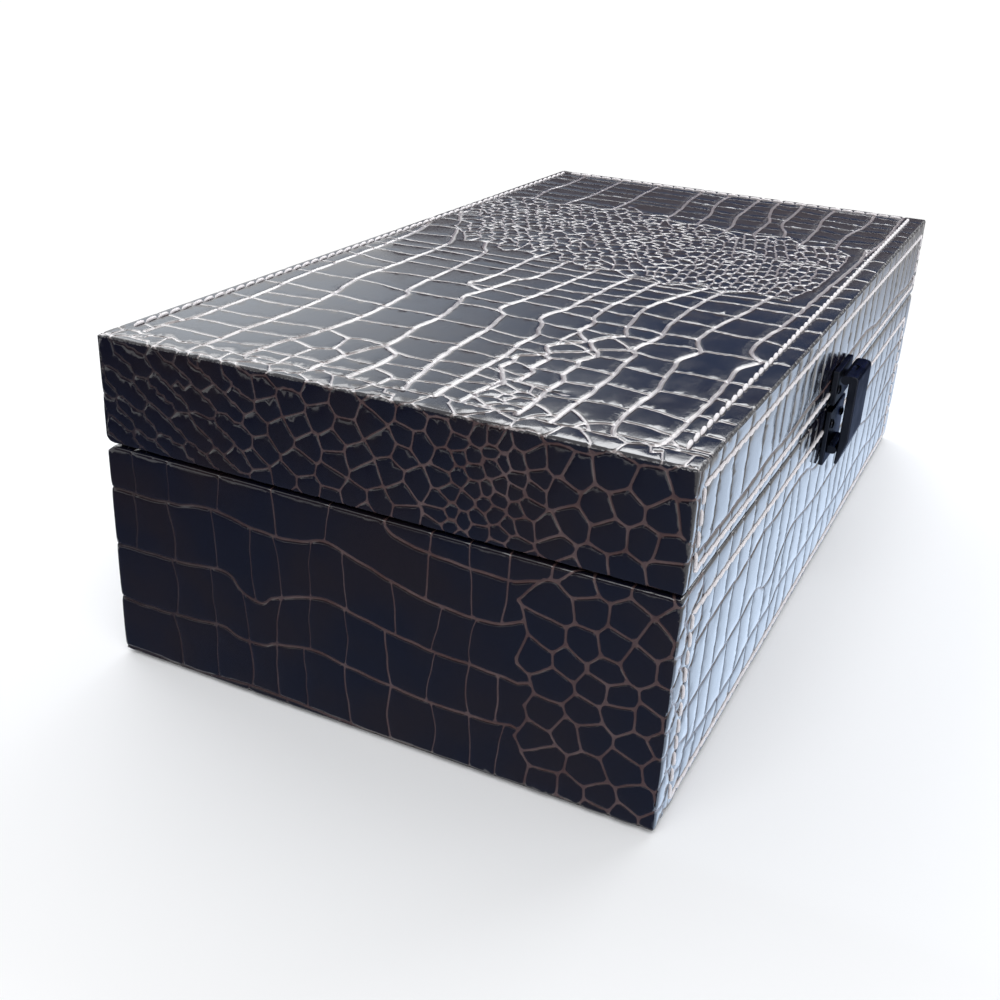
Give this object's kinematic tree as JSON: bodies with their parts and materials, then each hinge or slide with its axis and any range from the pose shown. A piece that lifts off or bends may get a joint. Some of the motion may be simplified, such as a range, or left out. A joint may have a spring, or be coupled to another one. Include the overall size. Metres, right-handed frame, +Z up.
{
  "type": "storage box",
  "caption": "Storage box for papers and keepsakes in black embossed leather, with a velvet lining, a hinged lid and a flip latch on the front.",
  "frame": {"origin": "middle of the base felt's underside, on the surface that the box stands on, centred on the walls without the latch", "axes": "+X to the right along the box's length as seen from the latch side, +Y to the rear, +Z up; the latch is on the -Y face"},
  "size_m": [0.33, 0.187, 0.1055],
  "materials": {
    "embossed_leather": "glossy near-black leather with an embossed crocodile pattern",
    "fibreboard": "raw sawn fibreboard",
    "velvet": "short-pile dark brown velvet",
    "base_felt": "matt black felt",
    "gunmetal": "satin black plating on pressed sheet metal",
    "steel": "dark burnished steel"
  },
  "bodies": {
    "box": {"base_felt": "base_felt", "bottom_board": "fibreboard", "floor_pad": "velvet", "body_front_board": "fibreboard", "body_rear_board": "fibreboard", "body_left_board": "fibreboard", "body_right_board": "fibreboard", "body_front_leather": "embossed_leather", "body_rear_leather": "embossed_leather", "body_left_leather": "embossed_leather", "body_right_leather": "embossed_leather", "body_front_lining": "velvet", "body_rear_lining": "velvet", "body_left_lining": "velvet", "body_right_lining": "velvet", "latch_catch_plate": "gunmetal", "latch_catch_screw_1": "steel", "latch_catch_screw_2": "steel", "left_hinge_body_leaf": "steel", "left_hinge_body_screw_1": "steel", "left_hinge_body_screw_2": "steel", "left_hinge_pin": "steel", "right_hinge_body_leaf": "steel", "right_hinge_body_screw_1": "steel", "right_hinge_body_screw_2": "steel", "right_hinge_pin": "steel"},
    "lid": {"lid_top_board": "fibreboard", "lid_top_leather": "embossed_leather", "lid_pad": "velvet", "lid_front_board": "fibreboard", "lid_rear_board": "fibreboard", "lid_left_board": "fibreboard", "lid_right_board": "fibreboard", "lid_front_leather": "embossed_leather", "lid_rear_leather": "embossed_leather", "lid_left_leather": "embossed_leather", "lid_right_leather": "embossed_leather", "lid_front_lining": "velvet", "lid_rear_lining": "velvet", "lid_left_lining": "velvet", "lid_right_lining": "velvet", "latch_lid_plate": "gunmetal", "latch_lid_screw_1": "steel", "latch_lid_screw_2": "steel", "latch_pin": "steel", "left_hinge_lid_leaf": "steel", "left_hinge_lid_screw_1": "steel", "left_hinge_lid_screw_2": "steel", "right_hinge_lid_leaf": "steel", "right_hinge_lid_screw_1": "steel", "right_hinge_lid_screw_2": "steel"},
    "flap": {"latch_flap": "gunmetal"}
  },
  "joints": [
    {"name": "lid_hinge", "type": "hinge", "parent": "box", "child": "lid", "pos_m": [0, 0.0873, 0.07175], "axis": [-1, 0, 0], "range_deg": [0, 98]},
    {"name": "latch_flap_hinge", "type": "hinge", "parent": "lid", "child": "flap", "pos_m": [0, -0.0937, 0.0824], "axis": [-1, 0, 0], "range_deg": [0, 95]}
  ]
}
